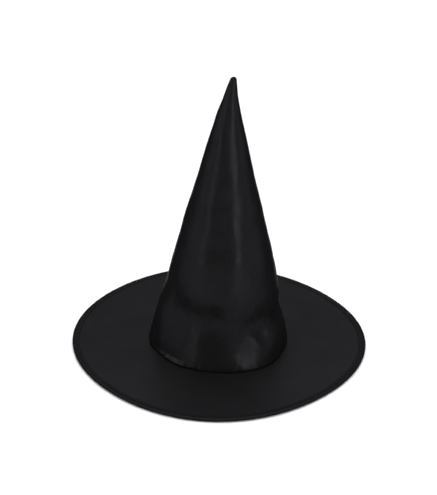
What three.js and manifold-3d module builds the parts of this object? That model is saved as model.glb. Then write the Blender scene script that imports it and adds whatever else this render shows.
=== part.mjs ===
// A black costume witch's hat: a tall soft cone, the crown, sewn to a wide flat brim.
// Millimetres, +Z up. The origin is the middle of the brim on the plane that the hat stands on,
// and the front of the hat faces -Y, so the crown's back seam is on the +Y side.
import * as THREE from "three";
import { mergeVertices } from "three/addons/utils/BufferGeometryUtils.js";
import Module from "manifold-3d";

// Overall sizes
const brimDiameter = 380;
const crownHeight = 370; // from the standing plane to the tip
const headRadius = 88.8; // inside the sweatband: a 56 cm head
const tipRadius = 4.2; // outside of the rounded tip

// How far the crown stands off plumb, towards +X
const crownLean = 9; // over its whole height, in a straight line
const tipBend = 3; // more, in its last stretch
const tipBendHeight = 60; // the length of that stretch

// Where the crown bends: a stretch of soft cloth between two stiffer ones
const bendCentre = 205; // above the standing plane
const bendLength = 60;

// Cloth thicknesses
const clothThickness = 0.4;
const crownInterliningThickness = 1.0;
const brimInterliningThickness = 1.0;
const bindingThickness = 0.5;
const turnedEdgeThickness = 0.6;
const sweatbandThickness = 0.8;
const seamThickness = 0.8;
const labelThickness = 0.4;

// Widths and heights of the strips
const bindingWidth = 10; // how far it covers the brim, above and below
const bindingCorner = 1.2; // roundness of the brim's edge
const turnedEdgeHeight = 12; // the brim's cloth turned up inside the crown
const sweatbandHeight = 32;
const seamWidth = 11; // both allowances of the back seam, pressed open
const seamTopRadius = 19.5; // inside the crown, where the allowances are trimmed away
const labelWidth = 26;
const labelHeight = 38;
const labelRise = 9; // the label's lower edge above the standing plane
const labelFromSeam = 24; // the label's middle, to the side of the back seam

// Hoop wire in the brim's edge, and the crimped tube that joins its ends
const wireRadius = 0.6;
const ferruleWall = 0.3;
const ferruleLength = 10;
const wireEndGap = 1;

const gap = 0.3; // left between neighbours that touch when sewn
const ringSides = 48;
const wireSides = 6;
const wireSteps = 96;
const ferruleSides = 12;
const tipArcSteps = 4;
const tipBendSteps = 4;

const ferruleBore = wireRadius + gap;
const ferruleRadius = ferruleBore + ferruleWall;

// The brim's layers lie midway in the binding, which is as thick as the layers or the ferrule need
const layersThickness = 2 * clothThickness + brimInterliningThickness + 2 * gap;
const bindingSpace = Math.max(layersThickness, 2 * ferruleRadius) + 2 * gap;
const brimThickness = bindingSpace + 2 * bindingThickness;

// Heights of the brim's layers above the standing plane, from the underside up
const undersideHeight = (brimThickness - layersThickness) / 2;
const brimInterliningHeight = undersideHeight + clothThickness + gap;
const brimTopHeight = brimInterliningHeight + brimInterliningThickness + gap;
const crownBase = brimTopHeight + clothThickness + gap;

// How deep each layer of the crown's wall lies behind its outer face, measured level
const interliningInset = clothThickness + gap;
const liningFace = interliningInset + crownInterliningThickness;
const turnedEdgeInset = liningFace + gap;
const sweatbandInset = turnedEdgeInset + turnedEdgeThickness + gap;
const sweatbandFace = sweatbandInset + sweatbandThickness;
const seamInset = liningFace + gap;
const labelInset = sweatbandFace + gap;

// Radii
const brimRadius = brimDiameter / 2;
const crownRadius = headRadius + sweatbandFace; // outside of the crown where it meets the brim
const openingRadius = crownRadius - liningFace; // hole in the brim's layers
const facetSag = brimRadius * (1 - Math.cos(Math.PI / ringSides));
const hoopRadius = brimRadius - bindingThickness - gap - ferruleRadius - facetSag;
const layerRadius = hoopRadius - ferruleRadius - gap; // outer edge of the brim's layers

// The crown's outer face: a cone from the brim that runs tangent into the ball of the tip
const tipCentre = crownHeight - tipRadius;
const tipDistance = Math.hypot(crownRadius, tipCentre - crownBase);
const halfAngle = Math.atan2(crownRadius, tipCentre - crownBase) - Math.asin(tipRadius / tipDistance);
const taper = Math.tan(halfAngle);

// The two heights that the bending stretch lies between, and the top of the back seam's allowances
const bendBottom = bendCentre - bendLength / 2;
const bendTop = bendCentre + bendLength / 2;
const seamTop = crownBase + (crownRadius - seamInset - seamTopRadius) / taper;

const wasm = await Module();
wasm.setup();

const satin = new THREE.MeshStandardMaterial({ color: 0x1f1f21, roughness: 0.6, metalness: 0 });
const bindingCloth = new THREE.MeshStandardMaterial({ color: 0x1b1b1d, roughness: 0.65, metalness: 0 });
const interlining = new THREE.MeshStandardMaterial({ color: 0x29292b, roughness: 0.95, metalness: 0 });
const grosgrain = new THREE.MeshStandardMaterial({ color: 0x161618, roughness: 0.7, metalness: 0 });
const springSteel = new THREE.MeshStandardMaterial({ color: 0x8c8f94, roughness: 0.35, metalness: 1 });
const crimpMetal = new THREE.MeshStandardMaterial({ color: 0xb4b6b9, roughness: 0.4, metalness: 1 });
const labelCloth = new THREE.MeshStandardMaterial({ color: 0xe9e8e4, roughness: 0.8, metalness: 0 });

function named(name, geometry, material) {
  const mesh = new THREE.Mesh(geometry, material);
  mesh.name = name;
  return mesh;
}

// Turns a profile of [radius, height] points about the Z axis.
function turned(profile, sides = ringSides) {
  const points = profile.map(([radius, height]) => new THREE.Vector2(radius, height));
  const geometry = new THREE.LatheGeometry(points, sides);
  geometry.rotateX(Math.PI / 2);
  return geometry;
}

// A flat ring, from its own bottom at z = 0.
function flatRing(inner, outer, thickness) {
  return turned([
    [inner, 0],
    [outer, 0],
    [outer, thickness],
    [inner, thickness],
    [inner, 0],
  ]);
}

// Radius of the crown's wall at a height and a depth behind its outer face.
// Within the brim's thickness the wall goes straight down.
function wallRadius(height, inset) {
  return crownRadius - inset - taper * Math.max(height - crownBase, 0);
}

// How far the crown's middle is pushed towards +X at a height.
function leanAt(height) {
  const rise = Math.max(height - crownBase, 0) / (crownHeight - crownBase);
  const inTip = Math.max(height - (crownHeight - tipBendHeight), 0) / tipBendHeight;
  return crownLean * rise + tipBend * inTip * inTip;
}

// Pushes each vertex of a plumb solid over by the crown's lean.
function leaning(geometry) {
  const position = geometry.getAttribute("position");
  for (let i = 0; i < position.count; i++) {
    position.setX(i, position.getX(i) + leanAt(position.getZ(i)));
  }
  return geometry;
}

// A plumb stretch of the crown's wall, open at both ends.
function wallStretch(inset, thickness, bottom, top) {
  const inner = inset + thickness;
  const heights = [bottom, top];
  if (bottom < crownBase && top > crownBase) heights.splice(1, 0, crownBase);
  const outerSide = heights.map((height) => [wallRadius(height, inset), height]);
  const innerSide = heights.map((height) => [wallRadius(height, inner), height]).reverse();
  return turned([...outerSide, ...innerSide, outerSide[0]]);
}

// One face of the crown's closed top: up the cone from a height, then over the ball to the axis.
function tipFace(bottom, inset) {
  const ballRadius = tipRadius - inset * Math.cos(halfAngle);
  const tangentHeight = tipCentre + ballRadius * Math.sin(halfAngle);
  const bendStart = crownHeight - tipBendHeight;
  const points = [[wallRadius(bottom, inset), bottom]];
  for (let i = 0; i < tipBendSteps; i++) {
    const height = bendStart + ((tangentHeight - bendStart) * i) / tipBendSteps;
    points.push([wallRadius(height, inset), height]);
  }
  for (let i = 0; i <= tipArcSteps; i++) {
    const angle = halfAngle + ((Math.PI / 2 - halfAngle) * i) / tipArcSteps;
    const radius = i < tipArcSteps ? ballRadius * Math.cos(angle) : 0;
    points.push([radius, tipCentre + ballRadius * Math.sin(angle)]);
  }
  return points;
}

// The crown's closed top as a shell, from a height to the tip.
function closedTop(inset, thickness, bottom) {
  const outerFace = tipFace(bottom, inset).reverse();
  const innerFace = tipFace(bottom, inset + thickness);
  return turned([...outerFace, ...innerFace].reverse());
}

// A closed mesh as a manifold-3d solid, and back.
function toSolid(geometry) {
  const bare = geometry.clone();
  bare.deleteAttribute("normal");
  bare.deleteAttribute("uv");
  const merged = mergeVertices(bare, 1e-4);
  const vertProperties = merged.attributes.position.array;
  const triVerts = new Uint32Array(merged.index.array);
  return new wasm.Manifold(new wasm.Mesh({ numProp: 3, vertProperties, triVerts }));
}

function toGeometry(solid) {
  const mesh = solid.getMesh();
  const geometry = new THREE.BufferGeometry();
  geometry.setAttribute("position", new THREE.BufferAttribute(mesh.vertProperties, 3));
  geometry.setIndex(new THREE.BufferAttribute(mesh.triVerts, 1));
  geometry.computeVertexNormals();
  return geometry;
}

// An upright strip of a wall stretch on the crown's back, of a width, middled on x.
function backStrip(stretch, x, width, bottom, top) {
  const cutter = new THREE.BoxGeometry(width, crownRadius, top - bottom + 2);
  cutter.translate(x, crownRadius / 2 + 1, (bottom + top) / 2);
  return toGeometry(toSolid(stretch).intersect(toSolid(cutter)));
}

// Brim -----------------------------------------------------------------------------------------

function brimLayer(name, height, thickness, material) {
  const layer = named(name, flatRing(openingRadius, layerRadius, thickness), material);
  layer.position.z = height;
  return layer;
}

// A strip folded round the brim's edge: its section is a U on its side with rounded corners.
function brimEdgeBinding() {
  const flangeEdge = brimRadius - bindingWidth;
  const wall = brimRadius - bindingThickness;
  const slope = bindingCorner * (1 - Math.SQRT1_2);
  const section = [
    [flangeEdge, 0],
    [brimRadius - bindingCorner, 0],
    [brimRadius - slope, slope],
    [brimRadius, bindingCorner],
    [brimRadius, brimThickness - bindingCorner],
    [brimRadius - slope, brimThickness - slope],
    [brimRadius - bindingCorner, brimThickness],
    [flangeEdge, brimThickness],
    [flangeEdge, brimThickness - bindingThickness],
    [wall, brimThickness - bindingThickness],
    [wall, bindingThickness],
    [flangeEdge, bindingThickness],
    [flangeEdge, 0],
  ];
  return named("brim_edge_binding", turned(section), bindingCloth);
}

// Arc of the hoop wire, which starts and ends at the back, either side of the gap in the ferrule.
class HoopPath extends THREE.Curve {
  getPoint(t) {
    const halfGap = wireEndGap / 2 / hoopRadius;
    const angle = Math.PI / 2 + halfGap + t * (2 * Math.PI - 2 * halfGap);
    return new THREE.Vector3(hoopRadius * Math.cos(angle), hoopRadius * Math.sin(angle), 0);
  }
}

function brimHoopWire() {
  const section = new THREE.Shape();
  for (let i = 0; i < wireSides; i++) {
    const angle = (2 * Math.PI * i) / wireSides;
    const x = wireRadius * Math.cos(angle);
    const y = wireRadius * Math.sin(angle);
    if (i === 0) section.moveTo(x, y);
    else section.lineTo(x, y);
  }
  const geometry = new THREE.ExtrudeGeometry(section, { steps: wireSteps, extrudePath: new HoopPath() });
  const wire = named("brim_hoop_wire", geometry, springSteel);
  wire.position.z = brimThickness / 2;
  return wire;
}

function hoopFerrule() {
  const tube = turned(
    [
      [ferruleBore, -ferruleLength / 2],
      [ferruleRadius, -ferruleLength / 2],
      [ferruleRadius, ferruleLength / 2],
      [ferruleBore, ferruleLength / 2],
      [ferruleBore, -ferruleLength / 2],
    ],
    ferruleSides,
  );
  const ferrule = named("hoop_ferrule", tube, crimpMetal);
  ferrule.rotation.y = Math.PI / 2;
  ferrule.position.set(0, hoopRadius, brimThickness / 2);
  return ferrule;
}

// The brim's cloth at the opening, clipped and turned up inside the crown.
function brimTurnedEdge() {
  const top = crownBase + turnedEdgeHeight;
  const stretch = wallStretch(turnedEdgeInset, turnedEdgeThickness, undersideHeight, top);
  return named("brim_turned_edge", leaning(stretch), satin);
}

// Crown ----------------------------------------------------------------------------------------

function crownCloth() {
  const lower = leaning(wallStretch(0, clothThickness, crownBase, bendBottom - gap));
  const bend = leaning(wallStretch(0, clothThickness, bendBottom, bendTop));
  const upper = leaning(closedTop(0, clothThickness, bendTop + gap));
  return [
    named("crown_cloth_lower", lower, satin),
    named("crown_cloth_bend", bend, satin),
    named("crown_cloth_upper", upper, satin),
  ];
}

function crownInterlining() {
  const thickness = crownInterliningThickness;
  const lower = leaning(wallStretch(interliningInset, thickness, crownBase, bendBottom - gap));
  const bend = leaning(wallStretch(interliningInset, thickness, bendBottom, bendTop));
  const upper = leaning(closedTop(interliningInset, thickness, bendTop + gap));
  return [
    named("crown_interlining_lower", lower, interlining),
    named("crown_interlining_bend", bend, interlining),
    named("crown_interlining_upper", upper, interlining),
  ];
}

function backSeamPart(name, bottom, top) {
  const stretch = wallStretch(seamInset, seamThickness, bottom, top);
  return named(name, leaning(backStrip(stretch, 0, seamWidth, bottom, top)), satin);
}

// The allowances of the back seam, pressed open against the inside, from the sweatband upwards.
function backSeam() {
  const start = undersideHeight + sweatbandHeight + gap;
  return [
    backSeamPart("back_seam_lower", start, bendBottom - gap),
    backSeamPart("back_seam_bend", bendBottom, bendTop),
    backSeamPart("back_seam_upper", bendTop + gap, seamTop),
  ];
}

function sweatband() {
  const top = undersideHeight + sweatbandHeight;
  const stretch = wallStretch(sweatbandInset, sweatbandThickness, undersideHeight, top);
  return named("sweatband", leaning(stretch), grosgrain);
}

// A blank label sewn to the sweatband's inside, beside the back seam.
function careLabel() {
  const top = labelRise + labelHeight;
  const stretch = wallStretch(labelInset, labelThickness, labelRise, top);
  const label = backStrip(stretch, labelFromSeam, labelWidth, labelRise, top);
  return named("care_label", leaning(label), labelCloth);
}

const brim = new THREE.Group();
brim.add(brimLayer("brim_underside_cloth", undersideHeight, clothThickness, satin));
brim.add(brimLayer("brim_interlining", brimInterliningHeight, brimInterliningThickness, interlining));
brim.add(brimLayer("brim_top_cloth", brimTopHeight, clothThickness, satin));
brim.add(brimEdgeBinding(), brimHoopWire(), hoopFerrule(), brimTurnedEdge());

const crown = new THREE.Group();
crown.add(...crownCloth(), ...crownInterlining(), ...backSeam(), sweatband(), careLabel());

const hat = new THREE.Group();
hat.add(brim, crown);

export default hat;
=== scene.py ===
import math

import bmesh
import bpy
import numpy as np
from mathutils import Matrix, Vector, noise


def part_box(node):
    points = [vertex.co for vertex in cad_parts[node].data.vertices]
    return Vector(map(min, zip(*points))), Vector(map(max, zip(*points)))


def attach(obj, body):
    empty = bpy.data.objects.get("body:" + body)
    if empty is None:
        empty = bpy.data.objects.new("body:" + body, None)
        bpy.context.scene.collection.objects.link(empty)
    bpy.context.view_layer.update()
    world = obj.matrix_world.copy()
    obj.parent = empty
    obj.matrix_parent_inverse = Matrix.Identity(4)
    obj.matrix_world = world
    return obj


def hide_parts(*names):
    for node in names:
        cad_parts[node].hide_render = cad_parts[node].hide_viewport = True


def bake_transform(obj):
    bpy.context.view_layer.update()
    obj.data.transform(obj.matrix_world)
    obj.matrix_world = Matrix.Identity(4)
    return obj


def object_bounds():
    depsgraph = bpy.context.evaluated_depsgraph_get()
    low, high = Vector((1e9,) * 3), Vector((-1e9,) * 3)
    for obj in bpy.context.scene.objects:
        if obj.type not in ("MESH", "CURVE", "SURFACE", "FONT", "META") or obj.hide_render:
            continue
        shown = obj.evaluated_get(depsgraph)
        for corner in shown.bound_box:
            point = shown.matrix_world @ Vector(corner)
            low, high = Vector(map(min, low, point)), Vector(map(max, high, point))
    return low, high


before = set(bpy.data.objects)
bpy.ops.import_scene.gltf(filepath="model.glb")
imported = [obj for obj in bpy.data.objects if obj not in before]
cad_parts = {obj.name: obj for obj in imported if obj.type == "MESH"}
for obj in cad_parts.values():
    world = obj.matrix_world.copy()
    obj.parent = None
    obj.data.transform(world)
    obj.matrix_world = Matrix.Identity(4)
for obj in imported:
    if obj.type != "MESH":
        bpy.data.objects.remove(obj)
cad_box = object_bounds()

# Camera ---------------------------------------------------------------------------------------
# It looks down on the hat's front from two metres, a little rolled, with a long lens.
# The picture is higher than it is wide, so its height sets the lens.

MM = 0.001
hat_centre = (cad_box[0] + cad_box[1]) / 2
aim = Vector((hat_centre.x - 2 * MM, hat_centre.y, 137 * MM))
camera_distance = 2.0
camera_elevation = math.radians(28.36)
camera_roll = math.radians(1.02)
picture_angle = math.radians(17.87)

camera_data = bpy.data.cameras.new("camera")
camera_data.sensor_fit = "VERTICAL"
camera_data.angle_y = picture_angle
camera = bpy.data.objects.new("camera", camera_data)
bpy.context.scene.collection.objects.link(camera)
towards_camera = Vector((0, -math.cos(camera_elevation), math.sin(camera_elevation)))
camera.location = aim + towards_camera * camera_distance
camera.rotation_mode = "QUATERNION"
level = (-towards_camera).to_track_quat("-Z", "Y")
camera.rotation_quaternion = level @ Matrix.Rotation(camera_roll, 3, "Z").to_quaternion()
bpy.context.scene.camera = camera

# Crown interlining ----------------------------------------------------------------------------
# A cone of stiff black non-woven behind the crown's cloth, fused to it with heat. It is what
# makes the soft crown stand, and it takes every bulge and dent that the cloth shows.

foot_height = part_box("crown_cloth_lower")[0].z
foot_radius = (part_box("crown_cloth_lower")[1].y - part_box("crown_cloth_lower")[0].y) / 2
tip_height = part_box("crown_cloth_upper")[1].z
tip_radius = 4.2 * MM
crown_lean = 9 * MM
tip_bend = 3.8 * MM
tip_bend_height = 60 * MM
ball_height = tip_height - tip_radius
half_angle = math.atan2(foot_radius, ball_height - foot_height) - math.asin(
    tip_radius / math.hypot(foot_radius, ball_height - foot_height)
)
taper = math.tan(half_angle)
back = math.pi / 2
lining_inset = 0.7 * MM
lining_thickness = 1.0 * MM


def beside(*values):
    """Arrays side by side as points, each spread to the same shape."""
    return np.stack(np.broadcast_arrays(*values), -1)


def hump(value, middle, width):
    """A soft hump of height 1 over a middle, that far wide to each side."""
    return np.exp(-(((value - middle) / width) ** 2))


def round_hump(angle, middle, width):
    """The same on the angle round the hat, in degrees."""
    apart = (np.degrees(angle) - middle + 180) % 360 - 180
    return np.exp(-((apart / width) ** 2))


def between(value, low, high, soft):
    """1 from low to high, falling to 0 over a soft edge on each side."""
    return (np.tanh((value - low) / soft) - np.tanh((value - high) / soft)) / 2


def front_degrees(angle):
    """Degrees from the +X side, from -180 to 180, so that the front of the hat is -90."""
    return (np.degrees(angle) + 180) % 360 - 180


def cloudy(x, y, z, seed, octaves=3):
    """Smooth noise about 0 at each point."""
    place = beside(x, y, z).reshape(-1, 3)
    shift = Vector((seed * 7.3, seed * -3.1, seed * 5.7))
    values = [noise.fractal(Vector(p) + shift, 0.9, 2.0, octaves) for p in place.tolist()]
    return np.array(values).reshape(np.broadcast(x, y, z).shape)


def dent(rise, middle, below, above):
    """A hollow of depth 1 at a height, fading over one distance below it and another above."""
    return np.where(rise < middle, hump(rise, middle, below), hump(rise, middle, above))


# Soft bulges, and dents where the first number is less than 0. Each is how far it stands off in
# millimetres, its middle and width round the hat in degrees, and its middle and reach below and
# above that up the wall in millimetres.
bulges = (
    (-5.2, -14, 40, 50, 17, 17),
    (1.6, 0, 50, 120, 45, 45),
    (-1.7, 180, 45, 86, 24, 24),
    (-4.6, -66, 14, 26, 17, 60),
    (-4.0, -46, 16, 60, 20, 24),
    (1.4, -28, 20, 27, 15, 15),
    (-2.2, 60, 40, 70, 25, 25),
    (1.0, 118, 30, 45, 22, 22),
)
# Long upright ridges and hollows: how far off, middle and width, then from, to and softness.
ridges = (
    (0.8, -68, 14, 70, 190, 22),
    (-0.5, -92, 10, 105, 220, 18),
    (0.6, -118, 10, 128, 205, 14),
    (0.8, 35, 9, 60, 180, 20),
    (-0.8, 150, 9, 50, 170, 20),
)


def slump(angle, height):
    """How far the crown's wall stands off its straight cone, the same for all its layers."""
    rise = np.maximum(height - foot_height, 0)
    front = front_degrees(angle)

    # The foot is drawn in, most of all at the left front, and stands out at the right front.
    off = -4.6 * MM * between(front, -152, -76, 13) * hump(rise, 0, 66 * MM)
    off = off + (2.6 * round_hump(angle, -46, 17) - 1.2) * MM * hump(rise, 0, 46 * MM)
    # The seam round the foot pulls it in along a narrow line.
    off = off - 0.6 * MM * hump(rise, 0, 1.4 * MM)
    # Half way up it swells all round, and lower down the left front is pinched to a waist.
    off = off + 1.1 * MM * hump(rise, 150 * MM, 90 * MM)
    waist = between(front, -152, -84, 9)
    off = off - 9.0 * MM * waist * dent(rise, 60 * MM, 38 * MM, 28 * MM)

    for out, middle, width, level, below, above in bulges:
        across = round_hump(angle, middle, width)
        off = off + out * MM * across * dent(rise, level * MM, below * MM, above * MM)
    for out, middle, width, low, high, soft in ridges:
        across = round_hump(angle, middle, width)
        off = off + out * MM * across * between(rise, low * MM, high * MM, soft * MM)

    # The cloth is uneven all over, finely gathered at the foot, and has a dog ear at the left.
    x = np.cos(angle) * (foot_radius - taper * rise) / (60 * MM)
    y = np.sin(angle) * (foot_radius - taper * rise) / (60 * MM)
    off = off + 1.3 * MM * cloudy(x, y, rise / (95 * MM), 1)
    off = off + 0.35 * MM * cloudy(x * 3.1, y * 3.1, rise / (26 * MM), 2)
    gathers = cloudy(x * 11, y * 11, rise / (30 * MM), 3, 2)
    off = off + 0.7 * MM * gathers * hump(rise, 0, 9 * MM)
    dog_ear = between(front, -147, -117, 7)
    off = off + 2.4 * MM * dog_ear * hump(rise, 2.6 * MM, 2.4 * MM)

    # At the tip it is a plain cone again.
    return off * np.clip((ball_height - height) / (45 * MM), 0, 1)


def seam_dip(angle, height):
    """How deep the back seam pulls the crown's layers in along its line."""
    radius = foot_radius - taper * np.maximum(height - foot_height, 0)
    aside = ((angle - back + math.pi) % (2 * math.pi) - math.pi) * radius
    return 0.9 * MM * hump(aside, 0, 0.8 * MM) * np.clip(radius / (8 * MM) - 0.6, 0, 1)


def lean_at(height):
    """How far the crown's middle stands towards +X."""
    rise = np.maximum(height - foot_height, 0) / (tip_height - foot_height)
    in_tip = np.maximum(height - (tip_height - tip_bend_height), 0) / tip_bend_height
    return crown_lean * rise + tip_bend * in_tip**2


def wall(angle, height, inset=0.0):
    """Points on the crown's wall, that deep behind its outer face. Under the foot it is upright."""
    rise = np.maximum(height - foot_height, 0)
    radius = foot_radius - taper * rise - inset + slump(angle, height)
    return beside(radius * np.cos(angle) + lean_at(height), radius * np.sin(angle), height)


def closed_cone(inset, columns, rows):
    """The whole crown: rows up the wall, closer at the foot, then over the ball at the tip."""
    ball = tip_radius - inset * math.cos(half_angle)
    tangent = ball_height + ball * math.sin(half_angle)
    share = np.linspace(0, 1, rows)
    height = (foot_height - 0.2 * MM + (tangent - foot_height) * share**1.22)[:, None]
    points = wall(columns[None, :], height, inset + seam_dip(columns[None, :], height))
    over = np.linspace(half_angle, math.pi / 2, 9)[1:, None]
    shrunk = ball * np.cos(over)
    top = ball_height + ball * np.sin(over)
    cap = beside(shrunk * np.cos(columns) + lean_at(top), shrunk * np.sin(columns), top)
    return np.concatenate([points, cap])


def seam_columns(count):
    """Angles once round from the back seam, with close ones on both sides of it."""
    close = np.radians([0, 0.12, 0.28, 0.5, 0.8, 1.2, 1.7])
    rest = np.linspace(math.radians(2.4), math.radians(360 - 2.4), count)
    return back + np.concatenate([close, rest, 2 * math.pi - close[:0:-1]])


def smooth_piece(name, points, faces, places, finish):
    """A smooth mesh with a finish. places holds where each point lay on the flat cloth."""
    mesh = bpy.data.meshes.new(name)
    mesh.from_pydata(points.reshape(-1, 3).tolist(), [], faces)
    flat = mesh.attributes.new("cut", "FLOAT_VECTOR", "POINT")
    flat.data.foreach_set("vector", places.ravel())
    mesh.materials.append(finish)
    mesh.shade_smooth()
    piece = bpy.data.objects.new(name, mesh)
    bpy.context.scene.collection.objects.link(piece)
    return piece


def grid(name, points, cut, finish, thickness=0.0, ring=True, ring_rows=False):
    """A piece from rows of points. cut holds where each point lay before the piece was shaped."""
    rows, columns = points.shape[:2]
    faces = []
    for row in range(rows if ring_rows else rows - 1):
        for column in range(columns if ring else columns - 1):
            after = (column + 1) % columns
            low, high = row * columns, (row + 1) % rows * columns
            faces.append((low + column, low + after, high + after, high + column))
    places = np.zeros((rows * columns, 3))
    places[:, :2] = cut.reshape(-1, 2)
    piece = smooth_piece(name, points, faces, places, finish)
    if thickness:
        body = piece.modifiers.new("thickness", "SOLIDIFY")
        body.thickness = thickness
        body.offset = -1
    return piece


def sector_cut(columns, points):
    """Where the points of a cone lay on the flat sector, whose middle is the front of the crown."""
    steps = np.linalg.norm(np.diff(points[:, len(columns) // 2], axis=0), axis=1)
    slant = np.concatenate([[0], np.cumsum(steps)])[:, None]
    from_apex = foot_radius / math.sin(half_angle) - slant
    turn = (columns - back - math.pi) * math.sin(half_angle)
    return beside(from_apex * np.sin(turn), from_apex * np.cos(turn))


def weld(piece):
    """Joins the points of a piece that lie on each other, as the last row at the tip does."""
    work = bmesh.new()
    work.from_mesh(piece.data)
    bmesh.ops.remove_doubles(work, verts=work.verts, dist=1e-6)
    work.to_mesh(piece.data)
    work.free()


class Field:
    """A value that varies from place to place, on which sums can be written."""

    def __init__(self, network, socket):
        self.network = network
        self.socket = socket

    def math(self, operation, *others):
        return self.network.node("Math", {"operation": operation}, dict(enumerate((self, *others))))

    def __add__(self, other):
        return self.math("ADD", other)

    def __mul__(self, other):
        return self.math("MULTIPLY", other)

    def __sub__(self, other):
        return self.math("SUBTRACT", other)

    def __rsub__(self, other):
        return self.network.node("Math", {"operation": "SUBTRACT"}, {0: other, 1: self})

    __radd__ = __add__
    __rmul__ = __mul__

    def wave(self, pitch):
        """From -1 to 1 and back over each pitch of this distance."""
        return (self * (2 * math.pi / pitch)).math("SINE")

    def ramp(self, low, high):
        """0 up to low and 1 from high on, smooth between."""
        limits = {1: low, 2: high, 3: 0.0, 4: 1.0}
        kind = {"interpolation_type": "SMOOTHSTEP"}
        return self.network.node("MapRange", kind, {0: self, **limits})


class Network:
    """The nodes of a material or of the world, and the shader that they feed."""

    def __init__(self, owner, shader):
        owner.use_nodes = True
        self.tree = owner.node_tree
        self.shader = self.tree.nodes[shader]

    def node(self, kind, settings, inputs, output=0):
        """Adds a node: first its settings, then the value or link of each socket."""
        made = self.tree.nodes.new("ShaderNode" + kind)
        for name, value in settings.items():
            setattr(made, name, value)
        for name, value in inputs.items():
            if isinstance(value, Field):
                self.tree.links.new(value.socket, made.inputs[name])
            else:
                made.inputs[name].default_value = value
        return Field(self, made.outputs[output])

    def axis(self, place, name):
        return self.node("SeparateXYZ", {}, {0: place}, name)

    def set(self, socket, field):
        self.tree.links.new(field.socket, self.shader.inputs[socket])


class Finish(Network):
    """A material. surface gives the values that are the same all over it."""

    def __init__(self, name, surface):
        self.material = bpy.data.materials.new(name)
        super().__init__(self.material, "Principled BSDF")
        for socket, value in surface.items():
            self.shader.inputs[socket].default_value = value

    def cut(self, across=1.0, along=1.0):
        """The place on the cloth before it was shaped, stretched by the two shares."""
        place = self.node("Attribute", {"attribute_name": "cut"}, {}, "Vector")
        return self.node("VectorMath", {"operation": "MULTIPLY"}, {0: place, 1: (across, along, 1)})

    def noise(self, place, scale, detail=2.0):
        """Noise from 0 to 1, with that many patches to the metre."""
        return self.node("TexNoise", {}, {"Vector": place, "Scale": scale, "Detail": detail})

    def mix(self, share, first, second):
        """A colour between two others."""
        return self.node("Mix", {"data_type": "RGBA"}, {0: share, 6: first, 7: second}, 2)

    def bump(self, height):
        """Raises the surface by a height in millimetres."""
        made = self.node("Bump", {}, {"Distance": MM, "Height": height})
        self.set("Normal", made)


def non_woven(name):
    """Stiff black non-woven: matt, a felt of short fibres pressed with a grid of small dots."""
    finish = Finish(name, {"Specular IOR Level": 0.12, "Sheen Weight": 0.04, "Sheen Roughness": 0.6})
    place = finish.cut()
    felt = finish.noise(place, 900, 6)
    lengthways = finish.noise(finish.cut(2600, 260), 1, 3) * 0.5
    fibres = lengthways + finish.noise(finish.cut(300, 2200), 1, 3) * 0.5
    patches = finish.noise(place, 45, 3)
    across, along = finish.axis(place, "X"), finish.axis(place, "Y")
    dots = (across.wave(2.4 * MM) * along.wave(2.4 * MM)).ramp(0.55, 0.9)
    shade = fibres.ramp(0.42, 0.66) * 0.7 + patches * 0.3
    finish.set("Base Color", finish.mix(shade, (0.011, 0.011, 0.012, 1), (0.034, 0.034, 0.036, 1)))
    finish.set("Roughness", 0.86 + felt * 0.12)
    finish.bump(felt * 0.12 + fibres * 0.08 - dots * 0.07)
    return finish.material


lining_columns = seam_columns(150)
lining_points = closed_cone(lining_inset, lining_columns, 100)
lining_cut = sector_cut(lining_columns, lining_points)
interlining = non_woven("black_non_woven")
crown_interlining = grid("crown_interlining", lining_points, lining_cut, interlining, lining_thickness)
weld(crown_interlining)
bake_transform(crown_interlining)
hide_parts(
    "crown_interlining_lower", "crown_interlining_bend", "crown_interlining_upper"
)

# Crown cloth ----------------------------------------------------------------------------------
# The same cone in black polyester satin, one sector cut with its warp up the front and closed
# by a seam at the back. Its foot is drawn in where it is sewn to the brim.

cloth_thickness = 0.4 * MM


def satin(name, base=(0.0140, 0.0140, 0.0152), roughness=0.30, grazing=0.2):
    """Black satin: its long warp threads shine softly, with no bright rim at the edges."""
    tint = (grazing, grazing, grazing, 1)
    finish = Finish(name, {"Specular IOR Level": 0.0, "Metallic": 0.5, "Specular Tint": tint})
    place = finish.cut()
    across, along = finish.axis(place, "X"), finish.axis(place, "Y")
    waver = finish.noise(finish.cut(1, 0.12), 420, 2) * 0.16 * MM
    warp = (across + waver).wave(0.34 * MM)
    floats = finish.noise(finish.cut(2900, 420), 1, 1)
    weft = along.wave(0.5 * MM) * floats.ramp(0.5, 0.62)
    slubs = finish.noise(finish.cut(1500, 40), 1, 2).ramp(0.56, 0.78)
    patches = finish.noise(place, 24, 3)
    crinkle = finish.noise(place, 70, 3)
    fine_crinkle = finish.noise(place, 260, 2)
    shade = patches * 0.55 + floats * 0.25 + slubs * 0.2
    dark = tuple(0.72 * part for part in base) + (1,)
    light = tuple(1.28 * part for part in base) + (1,)
    finish.set("Base Color", finish.mix(shade, dark, light))
    finish.set("Roughness", roughness - 0.05 + patches * 0.06 + slubs * 0.05)
    finish.bump(warp * 0.005 + weft * 0.004 + slubs * 0.012 + crinkle * 0.26 + fine_crinkle * 0.04)
    return finish.material


crown_satin = satin("black_satin")
crown_columns = seam_columns(250)
crown_points = closed_cone(0.0, crown_columns, 165)
crown_cut = sector_cut(crown_columns, crown_points)
crown_cloth = grid("crown_cloth", crown_points, crown_cut, crown_satin, cloth_thickness)
weld(crown_cloth)
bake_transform(crown_cloth)
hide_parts("crown_cloth_lower", "crown_cloth_bend", "crown_cloth_upper")

# Back seam ------------------------------------------------------------------------------------
# The two allowances of the crown's seam, inside at the back: satin cut with pinking shears,
# pressed open and ironed flat against the interlining, from the sweatband almost to the tip.

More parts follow.
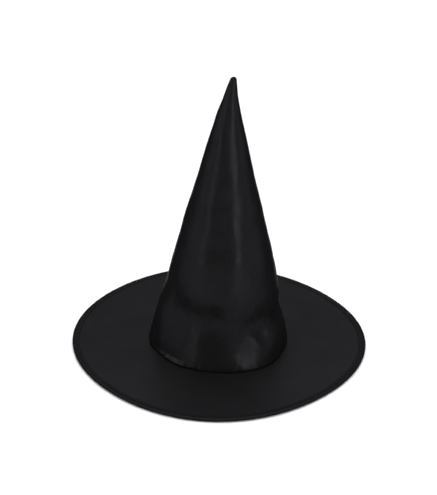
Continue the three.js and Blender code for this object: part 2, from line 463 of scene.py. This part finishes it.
seam_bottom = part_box("back_seam_lower")[0].z
seam_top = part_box("back_seam_upper")[1].z
seam_inset = 2.05 * MM
seam_cloth = 0.5 * MM
allowance = 5.2 * MM
tooth_pitch = 3 * MM
tooth_depth = 0.8 * MM

seam_rows = np.arange(seam_bottom, seam_top, tooth_pitch / 4)[:, None]
seam_side = np.linspace(0.2, 1, 7)
seam_share = np.concatenate([-seam_side[::-1], np.linspace(-0.16, 0.16, 9), seam_side])
teeth = abs((seam_rows / tooth_pitch) % 1 - 0.5) * 2 * tooth_depth
trimmed = np.clip((seam_top + 4 * MM - seam_rows) / (30 * MM), 0.35, 1)
seam_arc = seam_share * (allowance * trimmed + teeth * seam_share**2)
seam_angle = back + seam_arc / (foot_radius - taper * (seam_rows - foot_height) - seam_inset)
curl = cloudy(seam_arc / (9 * MM), seam_rows / (14 * MM), 0, 21) * seam_share**2 * 0.5 * MM
curl = np.clip(curl + 0.15 * MM * seam_share**4, 0, 1 * MM)
seam_depth = seam_inset + seam_dip(seam_angle, seam_rows) + curl
seam_points = wall(seam_angle, seam_rows, seam_depth)
seam_cut = beside(seam_arc, seam_rows)
back_seam = grid("back_seam", seam_points, seam_cut, crown_satin, seam_cloth, ring=False)
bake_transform(back_seam)
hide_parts("back_seam_lower", "back_seam_bend", "back_seam_upper")

# Brim interlining -----------------------------------------------------------------------------
# A flat ring of the same non-woven, heavier than the crown's, between the brim's two cloths.
# It keeps the brim flat inside its wire, with a few long shallow waves.

edge_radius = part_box("brim_edge_binding")[1].x
layer_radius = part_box("brim_interlining")[1].y
opening_inset = 1.7 * MM
brim_lining_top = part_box("brim_interlining")[1].z
brim_lining_thickness = 1.0 * MM


def eased(share):
    """A share from 0 to 1 that starts and ends gently."""
    return share**2 * (3 - 2 * share)


def brim_lift(angle, radius):
    """How far the brim has lifted off the standing plane, nothing at the crown."""
    waves = 1 + 0.5 * np.sin(2 * angle + 0.6) + 0.3 * np.sin(3 * angle - 1.1)
    waves = waves + 0.2 * np.sin(5 * angle + 2)
    out = np.clip((radius - foot_radius) / (edge_radius - foot_radius), 0, 1)
    return 0.6 * MM * waves * out**2


def on_brim(angle, radius, height):
    """Points of the brim: a radius round the hat at a height above the brim's own plane.
    Towards the edge it is a little out of round, as the wire is."""
    lifted = height + brim_lift(angle, radius)
    out = np.clip((radius - foot_radius) / (layer_radius - foot_radius), 0, 1)
    outline = 0.4 * np.cos(2 * angle) + 0.9 * np.cos(3 * angle) + 2.1 * np.cos(4 * angle) - 0.9
    radius = radius + outline * MM * eased(out)
    return beside(radius * np.cos(angle), radius * np.sin(angle), lifted)


def brim_rows(outer, inner_inset, angle, shares):
    """Radii from the outer edge in to the crown's foot, less an inset, for each angle."""
    inner = foot_radius + slump(angle, foot_height) - inner_inset
    return outer + (inner - outer) * shares


def puckers(angle, radius):
    """Small gathers where the brim's cloth is sewn, beside the crown and beside the binding."""
    ruffle = cloudy(np.cos(angle) * 24, np.sin(angle) * 24, radius / (14 * MM), 31, 2)
    loose = cloudy(np.cos(angle) * 5, np.sin(angle) * 5, radius / (35 * MM), 32, 2)
    by_crown = hump(radius, foot_radius, 9 * MM)
    by_edge = hump(radius, edge_radius - 12 * MM, 7 * MM)
    rippled = 1 + 4 * round_hump(angle, -137, 16)
    return 0.11 * MM * ruffle * (by_crown + by_edge * rippled) + 0.2 * MM * loose * (1 - by_edge)


ring = np.linspace(0, 2 * math.pi, 240, endpoint=False)[None, :]
lining_radius = brim_rows(layer_radius, opening_inset, ring, np.linspace(0, 1, 40)[:, None])
lining_ring = on_brim(ring, lining_radius, brim_lining_top + 0.1 * puckers(ring, lining_radius))
brim_interlining = grid(
    "interlining_ring", lining_ring, lining_ring[..., :2], interlining, brim_lining_thickness
)
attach(brim_interlining, "hat_base")
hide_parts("brim_interlining")

# Brim underside cloth -------------------------------------------------------------------------
# The satin ring under the brim. Its inner edge rolls up into the opening, under the sweatband.

# The brim's satin is the crown's cloth with its base colour painted lighter: painted sheen for the flat
# brim that faces the light.
lit_brim_satin = satin("black_satin_brim_painted_lighter", base=(0.0165, 0.0165, 0.0178), roughness=0.36, grazing=0.5)
under_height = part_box("brim_underside_cloth")[0].z
# The rolled edge: how far each row lies inside the foot, and how far above the flat cloth.
roll = np.array([[2.5, 0.5], [2.2, 0.16], [1.6, 0.02], [0.9, 0.0]]) * MM

under_share = np.linspace(1, 0, 60)[1:, None]
under_foot = foot_radius + slump(ring, foot_height)
under_flat = brim_rows(layer_radius, 0.0, ring, under_share)
under_radius = np.concatenate([under_foot - roll[:, :1], under_flat])
under_off = np.concatenate([roll[:, 1:] + 0 * ring, -0.7 * puckers(ring, under_flat) + 0 * under_flat])
under_points = on_brim(ring, under_radius, under_height + np.maximum(under_off, -0.5 * MM))
brim_underside_cloth = grid(
    "underside_cloth", under_points, under_points[..., :2], lit_brim_satin, cloth_thickness
)
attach(brim_underside_cloth, "hat_base")
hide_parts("brim_underside_cloth")

# Brim top cloth -------------------------------------------------------------------------------
# The satin ring on top of the brim, the one that shows. The crown's foot stands on its inner
# edge, and it gathers a little along both seams.

top_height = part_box("brim_top_cloth")[1].z
top_ring = np.linspace(0, 2 * math.pi, 400, endpoint=False)[None, :]
by_edge, by_crown = np.linspace(0, 0.16, 14), np.linspace(0.88, 1, 16)
top_share = np.concatenate([by_edge, np.linspace(0.18, 0.86, 34), by_crown])
top_radius = brim_rows(layer_radius, opening_inset, top_ring, top_share[:, None])
top_points = on_brim(top_ring, top_radius, top_height + puckers(top_ring, top_radius))
brim_top_cloth = grid("top_cloth", top_points, top_points[..., :2], lit_brim_satin, cloth_thickness)
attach(brim_top_cloth, "hat_base")
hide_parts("brim_top_cloth")

# Hoop wire ------------------------------------------------------------------------------------
# A hoop of spring-steel wire that holds the brim's edge round. It lies loose in the fold of
# the binding, and its two ends meet at the back with a small gap.

wire_radius = 0.6 * MM
hoop_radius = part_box("brim_hoop_wire")[1].y - wire_radius
hoop_height = (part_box("brim_hoop_wire")[0].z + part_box("brim_hoop_wire")[1].z) / 2
wire_end_gap = 1 * MM
wire_steps = 361
wire_sides = 12


def tube(centres, outward, radii, sides):
    """Rows of points round a line of centres, outward being one way across it at each centre."""
    along = np.gradient(centres, axis=0)
    along /= np.linalg.norm(along, axis=1)[:, None]
    across = np.cross(along, outward)
    turn = np.linspace(0, 2 * math.pi, sides, endpoint=False)[None, :, None]
    spoke = outward[:, None, :] * np.cos(turn) + across[:, None, :] * np.sin(turn)
    return centres[:, None, :] + spoke * radii[:, None, None]


def steel(name, base, dark, roughness):
    """Drawn metal: fine lines along it and a few dull patches."""
    finish = Finish(name, {"Metallic": 1.0})
    lines = finish.noise(finish.cut(60, 9000), 1, 3)
    dull = finish.noise(finish.cut(), 300, 4).ramp(0.45, 0.75)
    finish.set("Base Color", finish.mix(dull, base + (1,), dark + (1,)))
    finish.set("Roughness", roughness + lines * 0.12 + dull * 0.2)
    finish.bump(lines * 0.006 + dull * 0.004)
    return finish.material


half_gap = wire_end_gap / 2 / hoop_radius
wire_turn = back + np.linspace(half_gap, 2 * math.pi - half_gap, wire_steps)
wire_points = on_brim(wire_turn, hoop_radius, hoop_height)
wire_out = beside(np.cos(wire_turn), np.sin(wire_turn), 0.0)
wire_radii = np.full(wire_steps, wire_radius)
wire_radii[[0, -1]] *= 0.6
wire_ring = tube(wire_points, wire_out, wire_radii, wire_sides)
wire_girth = np.linspace(0, 2 * math.pi * wire_radius, wire_sides)
wire_cut = beside((wire_turn * hoop_radius)[:, None], wire_girth)
spring_steel = steel("spring_steel", (0.27, 0.28, 0.29), (0.12, 0.11, 0.10), 0.26)
hoop_wire = grid("spring_hoop_wire", wire_ring[:, ::-1], wire_cut, spring_steel)
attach(hoop_wire, "hat_base")
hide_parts("brim_hoop_wire")

# Ferrule --------------------------------------------------------------------------------------
# A short aluminium tube at the back that joins the wire's two ends, crimped on each of them.

ferrule_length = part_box("hoop_ferrule")[1].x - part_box("hoop_ferrule")[0].x
ferrule_radius = 1.2 * MM
ferrule_wall = 0.3 * MM

outside = np.linspace(-0.5, 0.5, 41)
ferrule_run = np.concatenate([outside, outside[::-1]])
bore = np.repeat([0, ferrule_wall], len(outside))
crimp = hump(ferrule_run, -0.27, 0.07) + hump(ferrule_run, 0.27, 0.07)
flare = 0.1 * MM * (hump(ferrule_run, -0.5, 0.05) + hump(ferrule_run, 0.5, 0.05))
ferrule_turn = np.linspace(0, 2 * math.pi, 24, endpoint=False)[None, :]
ferrule_across = (ferrule_radius - bore + flare + 0.1 * MM * crimp)[:, None] * np.cos(ferrule_turn)
ferrule_up = (ferrule_radius - bore + flare - 0.24 * MM * crimp)[:, None] * np.sin(ferrule_turn)
hoop_back = on_brim(back, hoop_radius, hoop_height)
bow = hoop_radius - np.sqrt(hoop_radius**2 - (ferrule_run * ferrule_length) ** 2)[:, None]
ferrule_x = (ferrule_run * ferrule_length)[:, None]
ferrule_points = beside(ferrule_x, hoop_back[1] - bow + ferrule_across, hoop_back[2] + ferrule_up)
ferrule_cut = beside(ferrule_x, ferrule_turn * ferrule_radius)
aluminium = steel("crimped_aluminium", (0.45, 0.46, 0.47), (0.3, 0.3, 0.31), 0.32)
ferrule = grid("wire_ferrule", ferrule_points[:, ::-1], ferrule_cut, aluminium, ring_rows=True)
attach(ferrule, "hat_base")
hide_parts("hoop_ferrule")

# Brim edge binding ----------------------------------------------------------------------------
# A strip of the satin cut on the bias, folded over the raw edge and the wire and stitched down
# through all layers. Its ends overlap at the back with a slanting join.

binding_thickness = 0.4 * MM
stitch_from_edge = 7 * MM
stitch_count = 330
# The strip's outer face, from its edge under the brim round the wire to its edge on top. Each
# point is how far out it lies from the brim's edge and how high it stands, in millimetres.
binding_section = [
    (-9.0, 0.36),
    (-7.0, 0.30),
    (-5.2, 0.14),
    (-3.5, 0.0),
    (-1.9, 0.05),
    (-0.5, 0.72),
    (0.0, 2.1),
    (-0.6, 3.45),
    (-2.1, 4.05),
    (-3.7, 3.98),
    (-5.4, 3.80),
    (-7.0, 3.68),
    (-9.0, 3.60),
]


def through(points, steps):
    """A smooth line through the points, with that many steps between each two."""
    points = np.array(points, float)
    ends = np.concatenate([[2 * points[0] - points[1]], points, [2 * points[-1] - points[-2]]])
    share = np.linspace(0, 1, steps, endpoint=False)[:, None]
    runs = []
    for before, start, end, after in zip(ends, ends[1:], ends[2:], ends[3:]):
        pull = (end - before) / 2 * (share - 2 * share**2 + share**3)
        push = (after - start) / 2 * (share**3 - share**2)
        runs.append(start + (end - start) * eased(share) + pull + push)
    return np.concatenate([*runs, points[-1:]])


section = through(binding_section, 3) * MM
section_run = np.concatenate([[0], np.cumsum(np.linalg.norm(np.diff(section, axis=0), axis=1))])
binding_ring = np.linspace(0, 2 * math.pi, 4 * stitch_count, endpoint=False)[None, :]
from_edge = section[:, :1]
facing = np.gradient(section, axis=0)
facing = np.stack([facing[:, 1], -facing[:, 0]], -1) / np.linalg.norm(facing, axis=1)[:, None]

binding_arc = (binding_ring - back) * edge_radius
in_row = hump(from_edge, -stitch_from_edge, 0.8 * MM)
dimples = in_row * (0.13 - 0.07 * np.cos(binding_ring * stitch_count)) * MM
round_x, round_y = np.cos(binding_ring) * 30, np.sin(binding_ring) * 30
flutter = cloudy(round_x, round_y, section_run[:, None] / (7 * MM), 41, 2)
loose_edge = hump(from_edge, -9 * MM, 1.6 * MM)
join_run = binding_arc - 0.9 * section_run[:, None]
step_up = (np.tanh((join_run - 1 * MM) / (0.35 * MM)) + 1) / 2
join = 0.4 * MM * np.exp(-np.clip(join_run, 0, 1) / (9 * MM)) * step_up
top_side = np.clip(section[:, 1:] / MM, 0, 1)
proud = 0.11 * MM * flutter * (1 + loose_edge) * top_side + join * top_side - dimples
binding_radius = edge_radius + from_edge + facing[:, :1] * np.minimum(proud, 0.6 * MM)
binding_height = section[:, 1:] + facing[:, 1:] * proud
binding_points = on_brim(binding_ring, binding_radius, np.maximum(binding_height, 0))
bias = math.sqrt(0.5)
strip = section_run[:, None]
binding_cut = beside(bias * (binding_arc + strip), bias * (binding_arc - strip))
# The binding's satin is the same cloth with its base colour painted darker: painted shade for the
# brim's rolled edge.
shaded_binding_satin = satin("black_satin_binding_painted_darker", base=(0.0130, 0.0130, 0.0141), roughness=0.5)
binding = grid("edge_binding", binding_points, binding_cut, shaded_binding_satin, binding_thickness)
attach(binding, "hat_base")
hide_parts("brim_edge_binding")

# Topstitching ---------------------------------------------------------------------------------
# Black polyester thread, a lockstitch all round the brim through the binding and the layers:
# one thread shows on top and the other underneath.

thread_radius = 0.17 * MM
thread_sides = 6
stitch_length = 2.5 * MM
# Along a stitch: how far it stands off the cloth, its thickness, and the share of its length.
stitch_sag = np.array([-0.22, -0.02, 0.1, 0.14, 0.1, -0.02, -0.22]) * MM
stitch_radii = np.array([0.55, 0.9, 1, 1, 1, 0.9, 0.55]) * thread_radius
stitch_share = np.linspace(-0.5, 0.5, len(stitch_sag))


def thread(name):
    """Twisted black polyester thread, a little shinier than the cloth."""
    finish = Finish(name, {"Specular IOR Level": 0.25, "Sheen Weight": 0.02})
    place = finish.cut()
    plies = (finish.axis(place, "X") + finish.axis(place, "Y") * 0.8).wave(0.36 * MM)
    fuzz = finish.noise(place, 6000, 2)
    finish.set("Base Color", finish.mix(fuzz, (0.004, 0.004, 0.0045, 1), (0.011, 0.011, 0.012, 1)))
    finish.set("Roughness", 0.42 + fuzz * 0.2)
    finish.bump(plies * 0.03 + fuzz * 0.01)
    return finish.material


def stitches(name, lines, outward, finish):
    """A run of stitches as one piece: each is a short thread that dips into the cloth at its ends."""
    steps = len(stitch_sag)
    vertices, faces, places = [], [], []
    for number, (line, out) in enumerate(zip(lines, outward)):
        first = number * thread_sides * steps
        for row in range(steps - 1):
            for side in range(thread_sides):
                a = first + row * thread_sides + side
                b = first + row * thread_sides + (side + 1) % thread_sides
                faces.append((b, a, a + thread_sides, b + thread_sides))
        faces.append(tuple(first + side for side in range(thread_sides)))
        end = first + (steps - 1) * thread_sides
        faces.append(tuple(end + side for side in reversed(range(thread_sides))))
        thread_line = line + out * stitch_sag[:, None]
        vertices.append(tube(thread_line, out, stitch_radii, thread_sides).reshape(-1, 3))
        run = np.linalg.norm(line - line[:1], axis=1)[:, None] + 3 * (number + 1) * MM
        around = np.arange(thread_sides) * 2 * math.pi * thread_radius / thread_sides
        places.append(beside(run, around[None, :], 0.0).reshape(-1, 3))
    return smooth_piece(name, np.concatenate(vertices), faces, np.concatenate(places), finish)


black_thread = thread("black_thread")
row_radius = edge_radius - stitch_from_edge
top_row = ("top_stitching", 3.58 * MM, 1)
under_row = ("under_stitching", 0.42 * MM, -1)
for name, row_height, way in (top_row, under_row):
    lines, outward = [], []
    for number in range(stitch_count):
        middle = (number + 0.5) * 2 * math.pi / stitch_count
        turn = middle + stitch_share * stitch_length / row_radius
        uneven = 0.12 * MM * (number % 3 - 1)
        lines.append(on_brim(turn, row_radius + uneven, row_height))
        outward.append(beside(0 * turn, 0.0, way))
    run = stitches(name, lines, outward, black_thread)
    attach(run, "hat_base")

# Brim turned edge -----------------------------------------------------------------------------
# The brim's own cloth at the opening, clipped every centimetre and a half so that it turns up
# inside the crown, and sewn to it. The clips open into narrow notches.

turned_inset = 2.0 * MM
turned_thickness = 0.6 * MM
turned_bottom = 1.9 * MM
turned_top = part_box("brim_turned_edge")[1].z
clip_count = 37
clip_bottom = 5 * MM
clip_width = 1.1 * MM

turned_columns = seam_columns(560)[None, :]
clip = abs((turned_columns * clip_count / (2 * math.pi)) % 1 - 0.5)
clip = clip * 2 * math.pi * foot_radius / clip_count
open_clip = np.clip(1 - clip / clip_width, 0, 1)
turned_edge_top = turned_top - (turned_top - clip_bottom) * open_clip
turned_rows = np.linspace(0, 1, 12)[:, None]
turned_height = turned_bottom + (turned_edge_top - turned_bottom) * turned_rows
turned_depth = turned_inset + seam_dip(turned_columns, turned_height)
turned_points = wall(turned_columns, turned_height, turned_depth)
turned_cut = beside(turned_columns * foot_radius, turned_height)
turned_edge = grid("turned_edge", turned_points, turned_cut, lit_brim_satin, turned_thickness)
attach(turned_edge, "hat_base")
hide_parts("brim_turned_edge")

# Sweatband ------------------------------------------------------------------------------------
# A black grosgrain ribbon round the inside of the opening, sewn on near its lower edge. Its
# upper edge stands free, and its ends overlap at the back.

band_inset = 2.9 * MM
band_thickness = 0.8 * MM
band_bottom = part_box("sweatband")[0].z
band_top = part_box("sweatband")[1].z
band_overlap = 12 * MM
band_stitch_count = 160
band_stitch_height = band_bottom + 3 * MM
band_stitch_inset = band_inset + band_thickness - 0.27 * MM


def grosgrain(name):
    """Ribbed ribbon: round ribs across its width, between two thin woven edges, with painted shade in
    the grooves between the ribs.
    """
    finish = Finish(name, {"Specular IOR Level": 0.16, "Sheen Weight": 0.02, "Sheen Roughness": 0.5})
    place = finish.cut()
    along, up = finish.axis(place, "X"), finish.axis(place, "Y")
    waver = finish.noise(place, 260, 2) * 0.1 * MM
    edges = 1 - up.ramp(1.0 * MM, 1.5 * MM) * (1 - up.ramp(30.6 * MM, 31.1 * MM))
    ribs = (along + waver).wave(0.85 * MM) * (1 - edges)
    threads = up.wave(0.3 * MM)
    worn = finish.noise(place, 40, 4).ramp(0.45, 0.7)
    # The ribs also set the base colour, darker in the grooves and lighter on the crests: painted shade.
    shade = ribs * 0.3 + worn * 0.4 + 0.3
    finish.set("Base Color", finish.mix(shade, (0.0035, 0.0035, 0.004, 1), (0.0115, 0.0115, 0.0125, 1)))
    finish.set("Roughness", 0.72 - worn * 0.1 + edges * 0.08)
    finish.bump(ribs * 0.13 + threads * 0.02 + edges * 0.06 + worn * 0.03)
    return finish.material


band_sweep = 2 * math.pi + band_overlap / (foot_radius - band_inset)
band_turn = np.linspace(0, band_sweep, 420)[None, :]
band_angle = back + band_turn
band_low, band_high = np.linspace(0, 0.06, 4), np.linspace(0.94, 1, 4)
band_rows = np.concatenate([band_low, np.linspace(0.1, 0.9, 22), band_high])
band_height = band_bottom + (band_top - band_bottom) * band_rows[:, None]
over_start = np.clip((band_turn - 2 * math.pi + 0.05) / 0.05, 0, 1)
relaxed = cloudy(np.cos(band_angle) * 4, np.sin(band_angle) * 4, 0, 51, 2) * 0.9 * MM + 0.7 * MM
relaxed = np.clip(relaxed, 0, 2 * MM) * np.clip((band_rows[:, None] - 0.35) / 0.65, 0, 1) ** 2
relaxed = relaxed * np.clip(np.minimum(band_turn, band_sweep - band_turn) / 0.25, 0, 1)
drawn_in = 0.25 * MM * hump(band_height, band_stitch_height, 1.2 * MM)
band_depth = band_inset + 0.95 * MM * eased(over_start) + relaxed - drawn_in
band_points = wall(band_angle, band_height, band_depth)
band_cut = beside(band_turn * (foot_radius - band_inset), band_height - band_bottom)
ribbon = grosgrain("black_grosgrain")
sweatband = grid("grosgrain_sweatband", band_points, band_cut, ribbon, band_thickness, ring=False)
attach(sweatband, "hat_base")
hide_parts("sweatband")

lines, outward = [], []
for number in range(band_stitch_count):
    middle = back + 0.16 + (2 * math.pi - 0.2) * (number + 0.5) / band_stitch_count
    turn = middle + stitch_share * stitch_length / foot_radius
    lines.append(wall(turn, band_stitch_height + 0 * turn, band_stitch_inset))
    outward.append(beside(-np.cos(turn), -np.sin(turn), 0.0))
band_stitching = stitches("sweatband_stitching", lines, outward, black_thread)
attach(band_stitching, "hat_base")

# Care label -----------------------------------------------------------------------------------
# A blank label of white woven tape, folded into a loop with its two ends sewn to the sweatband
# beside the back seam. It stands up past the ribbon, and its fold curls away from the crown.

label_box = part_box("care_label")
label_middle = (label_box[0].x + label_box[1].x) / 2
label_width = label_box[1].x - label_box[0].x
label_bottom = label_box[0].z
label_top = label_box[1].z
label_thickness = 0.22 * MM
label_gap = 0.35 * MM
label_inset = band_inset + band_thickness + 0.5 * MM
label_reach = foot_radius - 5 * MM
label_stitch_count = 8
label_stitch_pitch = 3 * MM
label_stitch_length = 2.4 * MM
label_stitch_height = label_bottom + 2 * MM
label_stitch_inset = label_inset + 2 * label_gap + 0.1 * MM


def label_cloth(name):
    """White satin-woven tape, a little yellowed, with heat-cut edges."""
    finish = Finish(name, {"Specular IOR Level": 0.3, "Sheen Weight": 0.05})
    place = finish.cut()
    across, along = finish.axis(place, "X"), finish.axis(place, "Y")
    threads = across.wave(0.28 * MM) * 0.6 + along.wave(0.36 * MM) * 0.4
    patches = finish.noise(place, 110, 4)
    rim = across.math("ABSOLUTE").ramp(12.1 * MM, 12.8 * MM)
    shade = patches.ramp(0.3, 0.75) * 0.6 + rim * 0.4
    finish.set("Base Color", finish.mix(shade, (0.80, 0.79, 0.76, 1), (0.68, 0.66, 0.61, 1)))
    finish.set("Roughness", 0.62 + patches * 0.12 - rim * 0.15)
    finish.bump(threads * 0.02 + patches * 0.1 + rim * 0.03)
    return finish.material


label_rise = label_top - label_bottom
up_share = np.linspace(0, 1, 22)
fold = np.radians(np.linspace(-90, 90, 9)[1:-1])
side_rise = up_share * (label_rise - label_gap)
fold_rise = label_rise - label_gap + label_gap * np.cos(fold)
run_height = np.concatenate([side_rise, fold_rise, side_rise[::-1]])
fold_depth = label_gap * (1 + np.sin(fold))
run_depth = np.concatenate([0 * up_share, fold_depth, 0 * up_share + 2 * label_gap])
label_run = np.concatenate([[0], np.cumsum(np.hypot(np.diff(run_height), np.diff(run_depth)))])
opened = (run_depth / label_gap - 1) * 0.5 * MM * np.sin(np.pi * run_height / label_rise)
curled = 3.2 * MM * np.clip((run_height / label_rise - 0.35) / 0.65, 0, 1) ** 2
label_share = np.linspace(-1, 1, 15)
label_depth = label_inset + run_depth + opened + curled
risen = (run_height / label_rise)[:, None]
label_depth = label_depth[:, None] + 0.5 * MM * risen * label_share**2
label_x = label_middle + label_share * label_width / 2 + 0.8 * MM * risen
label_angle = np.arccos(label_x / label_reach)
label_points = wall(label_angle, (label_bottom + run_height)[:, None] + 0 * label_x, label_depth)
label_cut = beside(label_share * label_width / 2, label_run[:, None])
white_tape = label_cloth("white_label_tape")
care_label = grid("blank_care_label", label_points, label_cut, white_tape, label_thickness, ring=False)
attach(care_label, "hat_base")
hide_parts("care_label")

lines, outward = [], []
for number in range(label_stitch_count):
    place = (number - (label_stitch_count - 1) / 2) * label_stitch_pitch
    turn = np.arccos((label_middle + place + stitch_share * label_stitch_length) / label_reach)
    lines.append(wall(turn, label_stitch_height + 0 * turn, label_stitch_inset))
    outward.append(beside(-np.cos(turn), -np.sin(turn), 0.0))
label_stitching = stitches("label_stitching", lines, outward, black_thread)
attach(label_stitching, "hat_base")

# Floor and light ------------------------------------------------------------------------------
# A white paper floor that stays white far from the hat, and a pale studio that is bright low down
# behind and darker overhead and in front. A tall softbox at the front right makes the long streak,
# weaker ones stand at the front, the sides and the back, and a wide one hangs over the floor.

ground = bpy.data.meshes.new("ground")
ground.from_pydata([(-6, -6, 0), (6, -6, 0), (6, 6, 0), (-6, 6, 0)], [], [(0, 1, 2, 3)])
floor = bpy.data.objects.new("ground", ground)
bpy.context.scene.collection.objects.link(floor)
paper = Finish("white_paper", {"Roughness": 0.8, "Specular IOR Level": 0.2, "Emission Strength": 1.0})
spot = paper.node("TexCoord", {}, {}, "Object")
grain = paper.noise(spot, 300, 3)
paper.set("Base Color", paper.mix(grain, (0.86, 0.86, 0.86, 1), (0.9, 0.9, 0.9, 1)))
away = paper.node("VectorMath", {"operation": "LENGTH"}, {0: spot}, "Value").ramp(1.4, 2.4)
paper.set("Emission Color", paper.mix(away, (0, 0, 0, 1), (0.9, 0.9, 0.9, 1)))
ground.materials.append(paper.material)

studio = bpy.data.worlds.new("studio")
sky = Network(studio, "Background")
sky.shader.inputs["Color"].default_value = (1, 1, 1, 1)
direction = sky.node("TexCoord", {}, {}, "Generated")
near_horizon = 1 - sky.axis(direction, "Z").ramp(0.1, 0.2) * 0.88
behind = sky.axis(direction, "Y").ramp(-0.7, -0.15) * 0.94 + 0.06
sky.set("Strength", near_horizon * behind)
bpy.context.scene.world = studio
bpy.context.scene.view_settings.view_transform = "Standard"


def softbox(name, place, aim_at, width, height, watts):
    """A lit rectangle at a place, facing a point, with its width, its height and its power."""
    data = bpy.data.lights.new(name, "AREA")
    data.shape = "RECTANGLE"
    data.size = width
    data.size_y = height
    data.energy = watts
    lamp = bpy.data.objects.new(name, data)
    bpy.context.scene.collection.objects.link(lamp)
    lamp.location = place
    lamp.rotation_euler = (Vector(aim_at) - Vector(place)).to_track_quat("-Z", "Y").to_euler()


softbox("key_softbox", (1.38, -1.97, 0.36), (0, 0, 0.15), 0.4, 0.6, 9)
softbox("front_softbox", (0.1, -2.2, 1.0), (0, 0, 0.05), 1.1, 0.4, 8)
softbox("left_softbox", (-1.73, -1.67, 0.5), (0, 0, 0.15), 0.2, 0.9, 5)
softbox("side_softbox", (-1.9, -0.4, 1.0), (0, 0, 0.1), 0.8, 0.8, 12)
softbox("right_softbox", (1.9, -0.3, 0.9), (0, 0, 0.1), 0.6, 0.8, 9)
softbox("back_softbox", (0.3, 2.2, 1.3), (0, 0, 0.0), 1.6, 0.8, 4.5)
softbox("top_softbox", (0.0, 0.9, 3.0), (0, 0.9, 0.0), 2.4, 3.4, 112)
